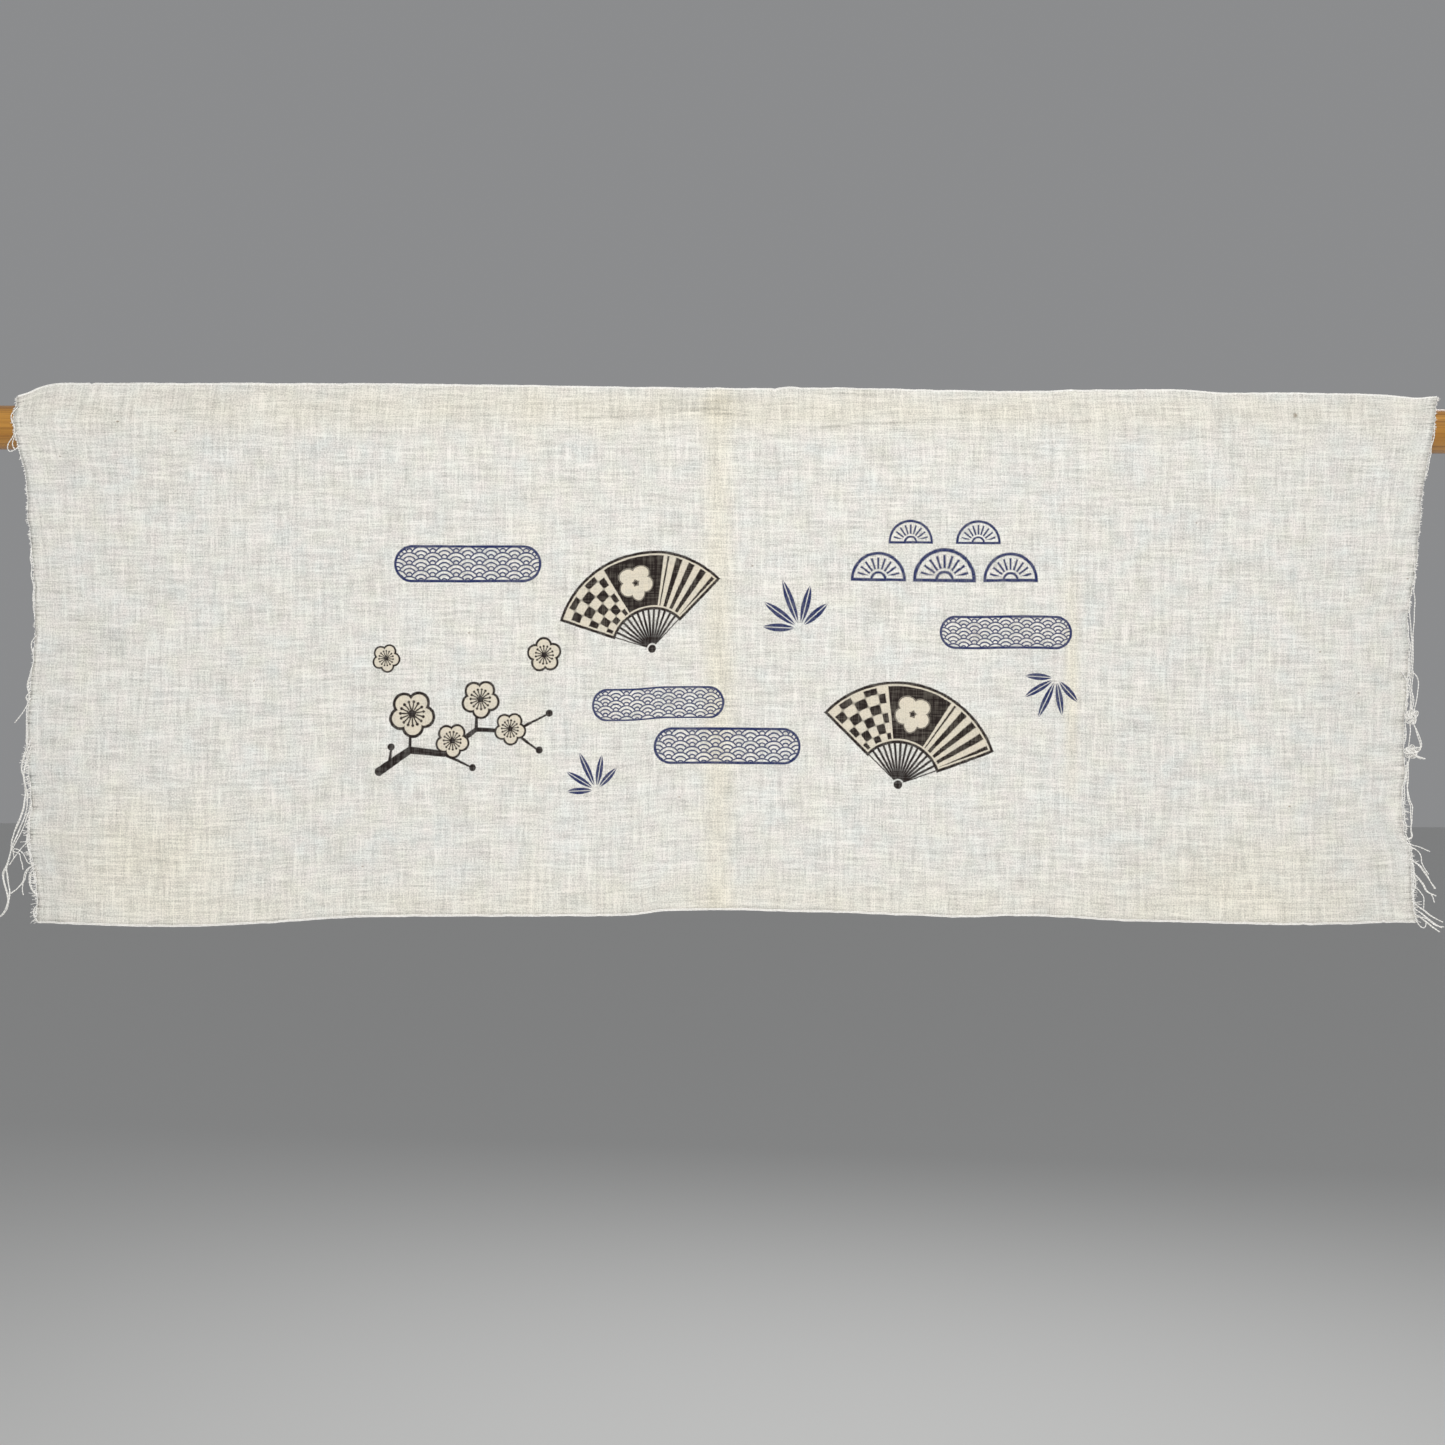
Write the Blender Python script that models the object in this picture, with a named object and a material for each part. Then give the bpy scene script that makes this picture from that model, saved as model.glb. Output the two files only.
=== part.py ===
"""A tenugui, a thin printed cotton hand cloth, hung flat against a plain round wooden rod.

The origin is on the rod's axis, halfway along it. X runs along the rod and Z is up. The cloth hangs on
the minus Y side, where its front is seen from. Sizes are in metres, but the tables are in millimetres.
"""

import math

import bmesh
import bpy
from mathutils import Matrix, Vector

MM = 0.001

# Rod: a straight dowel with flat sawn ends
ROD_RADIUS = 14 * MM
ROD_LENGTH = 1000 * MM
ROD_SIDES = 32

# Cloth: one loom width of plain weave, so its long edges are selvages and its two ends are raw cuts
CLOTH_LENGTH = 900 * MM
CLOTH_THICKNESS = 1.0 * MM
TOUCHING_GAP = 0.3 * MM
REACH = ROD_RADIUS + TOUCHING_GAP + CLOTH_THICKNESS / 2  # from the rod's axis to the cloth's middle

# Rows of points down the cloth: the free strip above the rod, the stretch that lies on the rod's
# upper front, one row for each of the rod's own facets, and the part that hangs below
LEAN_ROWS = 3
FACET_ANGLE = math.radians(360 / ROD_SIDES)
ROD_ROWS = 3
HANG_ROWS = 18
LAST_ROD_ROW = LEAN_ROWS + ROD_ROWS - 1
LAST_ROW = LAST_ROD_ROW + HANG_ROWS
LEAVING_ANGLE = (ROD_ROWS - 1) * FACET_ANGLE  # where the cloth leaves the rod and leans back

# Columns of points along the cloth, closer together towards the raw ends
COLUMNS = 46
END_CROWDING = 0.65

# Selvages: place along the cloth, height above the rod's axis
TOP_SELVAGE = (
    (-453, 21), (-447, 22), (-436, 27), (-424, 28), (-298, 28.5), (-196, 28), (10, 26), (87, 27),
    (189, 24), (240, 26), (292, 26), (330, 24), (446, 22), (456, 23),
)
BOTTOM_SELVAGE = (
    (-438, -317), (-350, -319), (-295, -317.5), (-235, -313.5), (-110, -311.5), (-60, -311),
    (-36, -308), (60, -308.5), (163, -311.5), (188, -310.5), (225, -311.5), (265, -314),
    (367, -315.5), (440, -314.5),
)

# Raw ends, from the bottom up: height above the rod's axis, place along the rod
LEFT_END = (
    (-316, -438), (-296, -439), (-264, -444), (-242, -443), (-212, -445), (-170, -442), (-136, -439),
    (-90, -440), (-62, -443), (-33, -445), (-17, -449), (1, -453), (22, -453),
)
RIGHT_END = (
    (-314, 440), (-282, 439), (-259, 436), (-236, 431), (-219, 433), (-202, 432), (-145, 435),
    (-122, 434), (-88, 439), (-42, 443), (-11, 448), (14, 453), (23, 456),
)

# Swells of the hanging cloth: place along it, half width, how far it stands forward at the bottom
SWELLS = (
    (-450, 30, -3.0),
    (-395, 80, 4.5),
    (-275, 70, -3.0),
    (-120, 100, 2.0),
    (5, 40, -1.5),
    (130, 90, 2.0),
    (300, 60, -4.5),
    (370, 50, 3.5),
    (450, 40, -4.0),
)

# Frayed ends: a narrow strip of each raw end, with the long loose threads that are rooted in it
STRIP_SHARE = 3.0 * MM / CLOTH_LENGTH
PARTING_SHARE = STRIP_SHARE + TOUCHING_GAP / CLOTH_LENGTH
THREAD = 0.8  # millimetres
THREAD_STEP = 3.0 * MM

# Loose threads, in millimetres: each has the height of its root, then its points as place along
# the rod, height, how far it stands forward of the cloth, and thickness
LEFT_THREADS = (
    (10, ((-456, 6, 0, THREAD), (-457, -5, 0, THREAD), (-458, -14, 0, THREAD), (-455, -18, 0, THREAD),
          (-451.5, -14, 0, THREAD))),
    (-135, ((-441.5, -139, 0, THREAD), (-442, -151, 0, THREAD), (-444, -166, 0, THREAD),
            (-444, -175, 0, THREAD), (-451, -190, 0, THREAD))),
    (-203, ((-447, -211, 0, 1.4), (-448, -220, 0, 1.8), (-447, -230, 0, 1.4), (-448, -249, 0, 2.0),
            (-452, -259, 0, 2.2), (-456, -278, 0, 1.6), (-458.5, -287, 0, 1.6), (-456, -302, 0, 1.4),
            (-460, -312, 0, THREAD))),
    (-241, ((-444.5, -245, 2, THREAD), (-446.5, -257, 3, THREAD), (-450, -268, 3, THREAD))),
    (-265, ((-447, -268, 0, THREAD), (-451, -274, 0, THREAD))),
    (-277, ((-447, -276, 0, THREAD), (-449, -280, 0, THREAD), (-446.5, -284, 0, THREAD))),
    (-282, ((-444, -286, 0, THREAD), (-446.5, -291, 0, THREAD), (-454, -299, 0, THREAD))),
)
RIGHT_THREADS = (
    (-84, ((440.5, -92, 0, THREAD), (438.5, -112, 0, THREAD), (437.5, -134, 0, THREAD),
           (437.5, -174, 0, 1.2), (437, -180, 0, 4.0), (437, -186, 0, 5.0), (439, -191, 0, 1.4),
           (442.5, -199, 0, 1.2), (440, -204, 0, 3.5), (437, -208, 0, 4.0), (436, -213, 0, 1.2),
           (435.5, -230, 0, THREAD), (438, -252, 0, THREAD))),
    (-155, ((437, -154, 3, THREAD), (440.5, -160, 3, THREAD), (440, -174, 3, THREAD))),
    (-264, ((442, -266, 0, THREAD), (449, -269, 0, THREAD))),
    (-268, ((442.5, -272, 0, THREAD), (444, -277, 0, THREAD), (448, -283, 0, THREAD))),
    (-275, ((443, -280, 0, THREAD), (448, -288, 0, THREAD), (452, -293, 0, THREAD))),
    (-283, ((443.5, -288, 0, THREAD), (447.5, -295, 0, THREAD), (453, -298, 0, THREAD))),
    (-292, ((443.5, -296, 0, THREAD), (445, -302, 0, THREAD))),
    (-303, ((447.5, -307, 0, THREAD), (457, -314, 0, THREAD))),
    (-310, ((446.5, -313, 0, 1.2), (456, -319, 0, 1.2))),
)

# Finish of each material: colour, roughness
COTTON = ("cotton", (0.80, 0.78, 0.72), 0.9)
LOOSE_THREAD = ("loose_thread", (0.84, 0.82, 0.78), 0.9)
ROD_WOOD = ("rod_wood", (0.52, 0.23, 0.05), 0.45)


def through(rows, at):
    """The value at one place of a smooth curve through rows of (place, value)."""
    at = min(max(at, rows[0][0]), rows[-1][0])
    after = next(i for i in range(1, len(rows)) if at <= rows[i][0])
    (start, low), (end, high) = rows[after - 1], rows[after]
    width = end - start
    rise_in = rise_out = (high - low) / width
    if after > 1:
        before = rows[after - 2]
        rise_in = (high - before[1]) / (end - before[0])
    if after < len(rows) - 1:
        beyond = rows[after + 1]
        rise_out = (beyond[1] - low) / (beyond[0] - start)
    t = (at - start) / width
    ends = low * (1 + 2 * t) * (1 - t) ** 2 + high * (3 - 2 * t) * t**2
    return ends + width * (rise_in * t * (1 - t) ** 2 - rise_out * (1 - t) * t**2)


def mix(a, b, share):
    return a + (b - a) * share


def swell(along, share_down):
    """How far the hanging cloth stands forward of the rod's front, in millimetres."""
    total = 0.0
    for centre, half_width, depth in SWELLS:
        off = abs(along - centre) / half_width
        if off < 1:
            total += depth * 0.5 * (1 + math.cos(math.pi * off))
    return total * share_down**1.5


def on_row(row, share):
    """The cloth's middle and the way its front faces, on one row, at one share of its length."""
    along = (share - 0.5) * CLOTH_LENGTH / MM
    leaving_height = REACH * math.sin(LEAVING_ANGLE)
    if row < LEAN_ROWS:
        angle = LEAVING_ANGLE
        top = through(TOP_SELVAGE, along) * MM
        height = mix(top, leaving_height, row / LEAN_ROWS)
        forward = REACH * math.cos(angle) - (height - leaving_height) * math.tan(angle)
    elif row <= LAST_ROD_ROW:
        angle = (LAST_ROD_ROW - row) * FACET_ANGLE
        height = REACH * math.sin(angle)
        forward = REACH * math.cos(angle)
    else:
        angle = 0.0
        share_down = (row - LAST_ROD_ROW) / HANG_ROWS
        height = through(BOTTOM_SELVAGE, along) * MM * share_down
        forward = REACH + swell(along, share_down) * MM
    left, right = through(LEFT_END, height / MM), through(RIGHT_END, height / MM)
    middle = Vector((mix(left, right, share) * MM, -forward, height))
    return middle, Vector((0, -math.cos(angle), math.sin(angle)))


def cloth_point(row, share):
    """As on_row, but a row may lie part of the way from one row to the next, on the straight."""
    above = min(int(row), LAST_ROW - 1)
    (high, high_facing), (low, low_facing) = on_row(above, share), on_row(above + 1, share)
    part = row - above
    return high.lerp(low, part), high_facing.lerp(low_facing, part).normalized()


def row_at(height, share):
    """The part row on which the cloth's middle has a height."""
    for row in range(LAST_ROW):
        high, low = on_row(row, share)[0].z, on_row(row + 1, share)[0].z
        if high >= height >= low:
            return row + (high - height) / (high - low)
    raise ValueError("a thread's root is off the cloth")


def material(name, colour, roughness):
    """A plain Principled material."""
    made = bpy.data.materials.new(name)
    made.use_nodes = True
    principled = made.node_tree.nodes["Principled BSDF"]
    principled.inputs["Base Color"].default_value = (*colour, 1)
    principled.inputs["Roughness"].default_value = roughness
    principled.inputs["Metallic"].default_value = 0.0
    return made


def node(name, bm, finish, parent):
    """Turns a bmesh into a named object with one material."""
    bmesh.ops.recalc_face_normals(bm, faces=bm.faces)
    mesh = bpy.data.meshes.new(name)
    bm.to_mesh(mesh)
    bm.free()
    mesh.materials.append(finish)
    made = bpy.data.objects.new(name, mesh)
    made.parent = parent
    bpy.context.collection.objects.link(made)
    return made


def sheet(rows, shares):
    """A thin closed sheet over the given rows and shares. Returns its bmesh and its two end rims."""
    bm = bmesh.new()
    sides = []
    for half in (CLOTH_THICKNESS / 2, -CLOTH_THICKNESS / 2):
        grid = []
        for row in rows:
            points = (cloth_point(row, share) for share in shares)
            grid.append([bm.verts.new(middle + facing * half) for middle, facing in points])
        sides.append(grid)
    front, back = sides
    last_row, last_column = len(rows) - 1, len(shares) - 1
    for r in range(last_row):
        for c in range(last_column):
            bm.faces.new((front[r][c], front[r + 1][c], front[r + 1][c + 1], front[r][c + 1]))
            bm.faces.new((back[r][c], back[r][c + 1], back[r + 1][c + 1], back[r + 1][c]))
    for c in range(last_column):
        bm.faces.new((front[0][c], front[0][c + 1], back[0][c + 1], back[0][c]))
        bm.faces.new((front[-1][c], back[-1][c], back[-1][c + 1], front[-1][c + 1]))
    rims = {0: [], last_column: []}
    for r in range(last_row):
        rims[0].append(bm.faces.new((front[r][0], back[r][0], back[r + 1][0], front[r + 1][0])))
        edge = (front[r][-1], front[r + 1][-1], back[r + 1][-1], back[r][-1])
        rims[last_column].append(bm.faces.new(edge))
    return bm, rims[0], rims[last_column]


def grow_thread(bm, root, steps):
    """Pulls a four-sided thread out of a root face, through steps of (centre, thickness)."""
    root.normal_update()
    heading = root.normal.copy()
    centre = root.calc_center_median()
    thickness = THREAD * MM
    tip = root
    for target, next_thickness in steps:
        turn = heading.rotation_difference(target - centre).to_matrix()
        tip = bmesh.ops.extrude_discrete_faces(bm, faces=[tip])["faces"][0]
        about = Matrix.Translation(-centre)
        growth = next_thickness / thickness
        bmesh.ops.rotate(bm, cent=centre, matrix=turn, verts=tip.verts)
        bmesh.ops.scale(bm, vec=(growth, growth, growth), space=about, verts=tip.verts)
        bmesh.ops.translate(bm, vec=target - centre, verts=tip.verts)
        heading = (target - centre).normalized()
        centre = target
        thickness = next_thickness


def thread_steps(root_point, points):
    """Evenly spaced steps along a smooth curve from a thread's root through its points."""
    stations = [(root_point.x, root_point.z, -root_point.y, THREAD * MM)]
    for place, height, forward, thickness in points:
        stations.append((place * MM, height * MM, REACH + forward * MM, thickness * MM))
    lengths = [0.0]
    for one, other in zip(stations, stations[1:]):
        lengths.append(lengths[-1] + math.dist(one[:3], other[:3]))
    count = round(lengths[-1] / THREAD_STEP)
    steps = []
    for i in range(1, count + 1):
        at = lengths[-1] * i / count
        x, z, forward, thickness = (
            through(list(zip(lengths, column)), at) for column in zip(*stations)
        )
        steps.append((Vector((x, -forward, z)), thickness))
    return steps


def frayed_end(name, shares, outer_share, threads, finish, parent):
    """The narrow strip at one raw end with its loose threads, as one body."""
    half_root = THREAD / 2 * MM
    roots = []
    for height, points in threads:
        rows = [row_at(height * MM + off, outer_share) for off in (half_root, -half_root)]
        roots.append((rows, points))
    rows = {row for pair, points in roots for row in pair}
    for row in range(LAST_ROW + 1):
        if all(abs(row - near) > 0.1 for near in rows):
            rows.add(row)
    rows = sorted(rows)
    bm, left_rim, right_rim = sheet(rows, shares)
    outer_rim = left_rim if outer_share == 0 else right_rim
    for (upper, lower), points in roots:
        root = outer_rim[rows.index(upper)]
        start = cloth_point((upper + lower) / 2, outer_share)[0]
        grow_thread(bm, root, thread_steps(start, points))
    return node(name, bm, finish, parent)


def column_shares():
    """Shares of the cloth's length between the two partings, crowded towards the raw ends."""
    shares = []
    for c in range(COLUMNS + 1):
        t = c / COLUMNS
        crowded = t - END_CROWDING * math.sin(2 * math.pi * t) / (2 * math.pi)
        shares.append(mix(PARTING_SHARE, 1 - PARTING_SHARE, crowded))
    return shares


def rod(finish, parent):
    """The dowel, a prism whose facets the cloth's rows lie along."""
    bm = bmesh.new()
    along_x = Matrix.Rotation(math.pi / 2, 4, "Y")
    bmesh.ops.create_cone(
        bm, cap_ends=True, segments=ROD_SIDES, radius1=ROD_RADIUS, radius2=ROD_RADIUS,
        depth=ROD_LENGTH, matrix=along_x,
    )
    made = node("rod", bm, finish, parent)
    made.data.shade_smooth()
    made.data.set_sharp_from_angle(angle=math.radians(40))
    return made


for old in list(bpy.data.objects):
    bpy.data.objects.remove(old)

hanging = bpy.data.objects.new("tenugui_on_rod", None)
bpy.context.collection.objects.link(hanging)

rod(material(*ROD_WOOD), hanging)

cloth_mesh, left_rim, right_rim = sheet(range(LAST_ROW + 1), column_shares())
towel = node("towel", cloth_mesh, material(*COTTON), hanging)
towel.data.shade_smooth()
towel.data.set_sharp_from_angle(angle=math.radians(40))

frayed_end("left_fray", (0, STRIP_SHARE), 0, LEFT_THREADS, material(*LOOSE_THREAD), hanging)
frayed_end("right_fray", (1 - STRIP_SHARE, 1), 1, RIGHT_THREADS, material(*LOOSE_THREAD), hanging)
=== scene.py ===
"""The looks of a tenugui, a printed cotton hand cloth, that hangs against a wooden rod."""

import math

import bmesh
import bpy
import numpy as np
from mathutils import Euler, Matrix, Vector, noise


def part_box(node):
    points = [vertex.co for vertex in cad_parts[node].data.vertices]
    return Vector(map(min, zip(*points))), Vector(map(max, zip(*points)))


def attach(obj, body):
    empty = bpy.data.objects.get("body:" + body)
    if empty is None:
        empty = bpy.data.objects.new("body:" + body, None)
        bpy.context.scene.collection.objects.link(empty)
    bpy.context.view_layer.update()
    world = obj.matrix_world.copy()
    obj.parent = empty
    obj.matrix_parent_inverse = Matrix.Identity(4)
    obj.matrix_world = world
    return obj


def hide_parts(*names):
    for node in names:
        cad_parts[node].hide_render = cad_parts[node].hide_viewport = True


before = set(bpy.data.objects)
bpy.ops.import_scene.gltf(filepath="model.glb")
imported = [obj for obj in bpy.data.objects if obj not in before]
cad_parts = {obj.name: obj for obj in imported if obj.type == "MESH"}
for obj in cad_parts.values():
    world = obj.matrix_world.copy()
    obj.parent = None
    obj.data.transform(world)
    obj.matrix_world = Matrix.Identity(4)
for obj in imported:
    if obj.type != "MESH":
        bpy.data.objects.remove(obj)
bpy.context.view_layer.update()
MM = 0.001


# The rod is a plain dowel of light wood, sawn square with its edges eased, then sanded and
# varnished to a honey colour. Only its two ends show from the front, on each side of the cloth.
ROD_RADIUS = 14 * MM
ROD_SIDES = 96
EASED_EDGE = 0.8 * MM
HONEY = (172, 118, 44)
PALE_GRAIN = (192, 138, 60)
DARK_GRAIN = (118, 72, 24)


def dye(red, green, blue):
    """A colour seen on a screen, 0 to 255, as the light that a material reflects."""
    light = [(c / 255 + 0.055) / 1.055 if c > 10 else c / 255 / 12.92 for c in (red, green, blue)]
    return (*[x**2.4 if c > 10 else x for x, c in zip(light, (red, green, blue))], 1.0)


def add(tree, kind, plugs=None, **settings):
    """Adds a node, sets it up, and plugs values, sockets or whole nodes into its inputs."""
    made = tree.nodes.new(kind)
    for name, value in settings.items():
        setattr(made, name, value)
    for name, value in (plugs or {}).items():
        if isinstance(name, int):
            socket = made.inputs[name]
        else:
            socket = next(s for s in made.inputs if s.enabled and s.name == name)
        if isinstance(value, bpy.types.Node):
            value = next(s for s in value.outputs if s.enabled)
        if isinstance(value, bpy.types.NodeSocket):
            tree.links.new(value, socket)
        else:
            socket.default_value = value
    return made


def over(tree, under, colour, share):
    """Lays one colour over another by a share, each of them plain or from a socket."""
    blend = add(tree, "ShaderNodeMix", data_type="RGBA")
    for socket, value in zip([s for s in blend.inputs if s.enabled], (share, under, colour)):
        if isinstance(value, bpy.types.NodeSocket):
            tree.links.new(value, socket)
        else:
            socket.default_value = value
    return next(s for s in blend.outputs if s.enabled)


def reckon(tree, operation, *terms):
    """One step of a sum in a node tree, on plain numbers, sockets or whole nodes."""
    return add(tree, "ShaderNodeMath", dict(enumerate(terms)), operation=operation)


def finish_of(name, looks):
    """A new material, its node tree and its Principled node, with values for some of its looks."""
    material = bpy.data.materials.new(name)
    material.use_nodes = True
    surface = material.node_tree.nodes["Principled BSDF"]
    for look, value in looks.items():
        surface.inputs[look].default_value = value
    return material, material.node_tree, surface


def hang(name, mesh, stands_for=None):
    """Makes a mesh a piece of the object, which rides with the rod."""
    piece = bpy.data.objects.new(name, mesh)
    bpy.context.collection.objects.link(piece)
    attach(piece, "root")
    if stands_for:
        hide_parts(stands_for)
    return piece


def varnished_wood():
    material, tree, surface = finish_of("honey_varnished_wood", {
        "Roughness": 0.4, "Coat Weight": 0.5, "Coat Roughness": 0.28})
    place = add(tree, "ShaderNodeTexCoord").outputs["Object"]

    def grain(along, across, detail, low, high):
        """Long streaks in the wood, as a share that grows from one level of noise to another."""
        drawn_out = add(tree, "ShaderNodeMapping", {"Vector": place, "Scale": (along, across, across)})
        streaks = add(tree, "ShaderNodeTexNoise", {"Vector": drawn_out, "Scale": 1.0, "Detail": detail})
        share = add(tree, "ShaderNodeMapRange", {
            "Value": streaks.outputs["Fac"], "From Min": low, "From Max": high})
        return share.outputs["Result"]

    sides = over(tree, dye(*HONEY), dye(*PALE_GRAIN), grain(2.5, 110, 2.0, 0.38, 0.62))
    sides = over(tree, sides, dye(*DARK_GRAIN), grain(4, 420, 3.0, 0.56, 0.80))
    pores = grain(16, 1500, 2.0, 0.58, 0.74)
    sides = over(tree, sides, dye(*DARK_GRAIN), pores)

    # Growth rings on the sawn ends, centred off the rod's own axis
    heart = add(tree, "ShaderNodeMapping", {
        "Vector": place, "Location": (0, 0.011, 0.019), "Scale": (0, 1, 1)})
    ring = add(tree, "ShaderNodeTexWave", {"Vector": heart, "Scale": 260.0, "Distortion": 1.5, "Detail": 2.0},
               wave_type="RINGS", rings_direction="X")
    ends = over(tree, dye(*DARK_GRAIN), dye(*PALE_GRAIN), ring.outputs["Fac"])
    shape = add(tree, "ShaderNodeNewGeometry")
    facing = add(tree, "ShaderNodeSeparateXYZ", {"Vector": shape.outputs["Normal"]})
    on_end = reckon(tree, "GREATER_THAN", reckon(tree, "ABSOLUTE", facing.outputs["X"]), 0.8)
    tree.links.new(over(tree, sides, ends, on_end.outputs[0]), surface.inputs["Base Color"])
    bump = add(tree, "ShaderNodeBump", {"Height": pores, "Strength": 0.3, "Distance": 0.05 * MM}, invert=True)
    tree.links.new(bump.outputs["Normal"], surface.inputs["Normal"])
    return material


def dowel():
    """A many-sided rod with a small bevel round each sawn end."""
    low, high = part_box("rod")
    mesh = bpy.data.meshes.new("wooden_rod")
    bm = bmesh.new()
    bmesh.ops.create_cone(
        bm, cap_ends=True, segments=ROD_SIDES, radius1=ROD_RADIUS, radius2=ROD_RADIUS,
        depth=high.x - low.x, matrix=Euler((0, math.pi / 2, 0)).to_matrix().to_4x4(),
    )
    rims = [edge for edge in bm.edges if abs(edge.verts[0].co.x - edge.verts[1].co.x) < MM]
    bmesh.ops.bevel(bm, geom=rims, offset=EASED_EDGE, segments=3, profile=0.5, affect="EDGES")
    bmesh.ops.recalc_face_normals(bm, faces=bm.faces)
    bm.to_mesh(mesh)
    bm.free()
    mesh.shade_smooth()
    mesh.set_sharp_from_angle(angle=math.radians(40))
    return mesh


wooden_rod = hang("wooden_rod", dowel(), "rod")
wooden_rod.data.materials.append(varnished_wood())


# The cloth is one loom width of thin plain-woven cotton, with a selvage along its top and bottom and
# a raw cut at each end. It lies over the rod's upper front, leans back above it, and hangs nearly flat
# below, with the soft folds of its storage. Its lengths and those of its yarns are in millimetres.
CUT_LENGTH = 900
HALF_LENGTH = CUT_LENGTH / 2
CUT_WIDTH = 340
THICKNESS = 0.34
REACH = 14.4  # from the rod's axis to the middle of the cloth
LEANING = 22  # of the cloth's width, the part above the rod
LAID = 6  # and the part that lies on it
HANGING = CUT_WIDTH - LEANING - LAID
LEAVING_ANGLE = math.radians(22.5)

# Selvages: place along the rod, height above its axis
TOP_SELVAGE = (
    (-455, 17.8), (-450, 19.1), (-444, 21.4), (-438, 24.9), (-431, 26.9), (-423, 27.6), (-405, 27.8),
    (-298, 28.1), (-196, 28), (10, 25.5), (87, 26), (189, 23.8), (240, 25.1), (292, 25.4), (330, 23.4),
    (375, 23.4), (400, 23), (420, 22.3), (433, 20.7), (440, 20.1), (447, 20.9), (456, 22),
)
BOTTOM_SELVAGE = (
    (-438, -317), (-350, -318.7), (-295, -316.8), (-235, -312.8), (-110, -311.5), (-60, -311),
    (-36, -308), (60, -308.5), (163, -311.5), (188, -310.5), (225, -311.5), (265, -314),
    (367, -315.5), (440, -314.5),
)

# Raw ends, from the bottom up: height above the rod's axis, place along the rod
LEFT_END = (
    (-316, -438), (-300, -437.5), (-282, -439.5), (-264, -442.3), (-242, -441.3), (-215, -443.4),
    (-195, -443.5), (-170, -442), (-136, -439), (-90, -440), (-62, -443), (-33, -445), (-17, -449),
    (1, -453), (22, -453),
)
RIGHT_END = (
    (-314, 440.5), (-300, 438.5), (-282, 437.5), (-268, 436), (-259, 433), (-236, 431), (-219, 433),
    (-202, 432), (-145, 435), (-122, 434), (-88, 439), (-42, 443), (-11, 448), (14, 453), (23, 456),
)
ENDS = (-441.5, 438.5)  # the raw ends on the whole
FOLLOWING = 120  # how far into the cloth its yarns follow the shape of an end

# Swells of the hanging cloth: place along it, half width, how far it stands forward at the bottom
SWELLS = (
    (-450, 30, -3.0), (-395, 80, 4.5), (-275, 70, -3.0), (-120, 100, 2.0), (5, 40, -1.5),
    (130, 90, 2.0), (300, 60, -4.5), (370, 50, 3.5), (450, 40, -4.0),
)

# Soft ridges left by storage folds: place along the cloth, half width, how far they stand
STORAGE_FOLDS = ((-124, 6, 0.35), (-3, 6, 0.5), (227, 4, 0.55))

# Drag wrinkles over the rod, which rise gently from above and drop sharply below: place, level of the
# crest, half length, how far below it the drop ends, rise, slope
DRAG_WRINKLES = (
    (-14, 12.8, 42, 2.6, 2.5, 0.0), (0, 9.8, 30, 1.8, 1.2, -0.07), (-38, 9.8, 26, 1.8, 1.2, 0.12),
    (-78, 7.4, 45, 1.8, 1.1, 0.033), (0, 18.8, 45, 1.7, 1.4, 0.0), (-36, 16.5, 18, 1.7, 1.2, 0.22),
    (72, 0.8, 26, 1.7, 1.0, 0.12), (106, 3.4, 32, 1.7, 0.9, 0.03), (75, 24.4, 50, 1.5, 1.0, 0.0),
    (30, 6.0, 30, 1.8, 0.7, -0.03), (-90, 13, 30, 2.0, 0.8, 0.02), (-305, 22.5, 32, 1.5, 0.8, 0.01),
    (-360, 9, 40, 2.4, 0.6, 0.02), (300, 10, 45, 2.2, 0.7, -0.02), (-405, 12, 26, 2.2, 0.8, -0.12),
    (180, 14, 40, 2.0, 0.7, 0.03), (230, 5, 34, 1.8, 0.6, 0.03), (-215, 12, 36, 1.8, 0.6, -0.02),
)

# Nicks and bumps of the selvages: place, half width, how far in
TOP_NICKS = ((-409, 1.6, 0.7), (33.5, 2, 0.6), (43, 9, -0.7), (-250, 6, 0.25), (262, 7, 0.3))
BOTTOM_NICKS = ((377, 3.5, 0.6), (429, 2.5, 0.6), (-300, 5, 0.3), (150, 7, -0.3))


def through(rows, at):
    """The value at one place of a smooth curve through rows of (place, value)."""
    at = min(max(at, rows[0][0]), rows[-1][0])
    after = next(i for i in range(1, len(rows)) if at <= rows[i][0])
    (start, low), (end, high) = rows[after - 1], rows[after]
    width = end - start
    rise_in = rise_out = (high - low) / width
    if after > 1:
        before = rows[after - 2]
        rise_in = (high - before[1]) / (end - before[0])
    if after < len(rows) - 1:
        beyond = rows[after + 1]
        rise_out = (beyond[1] - low) / (beyond[0] - start)
    t = (at - start) / width
    ends = low * (1 + 2 * t) * (1 - t) ** 2 + high * (3 - 2 * t) * t**2
    return ends + width * (rise_in * t * (1 - t) ** 2 - rise_out * (1 - t) * t**2)


def mix(a, b, share):
    return a + (b - a) * share


def hump(off):
    """A smooth hump, 1 in its middle and 0 from an offset of 1 outwards."""
    return 0.5 * (1 + math.cos(math.pi * min(abs(off), 1)))


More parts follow.
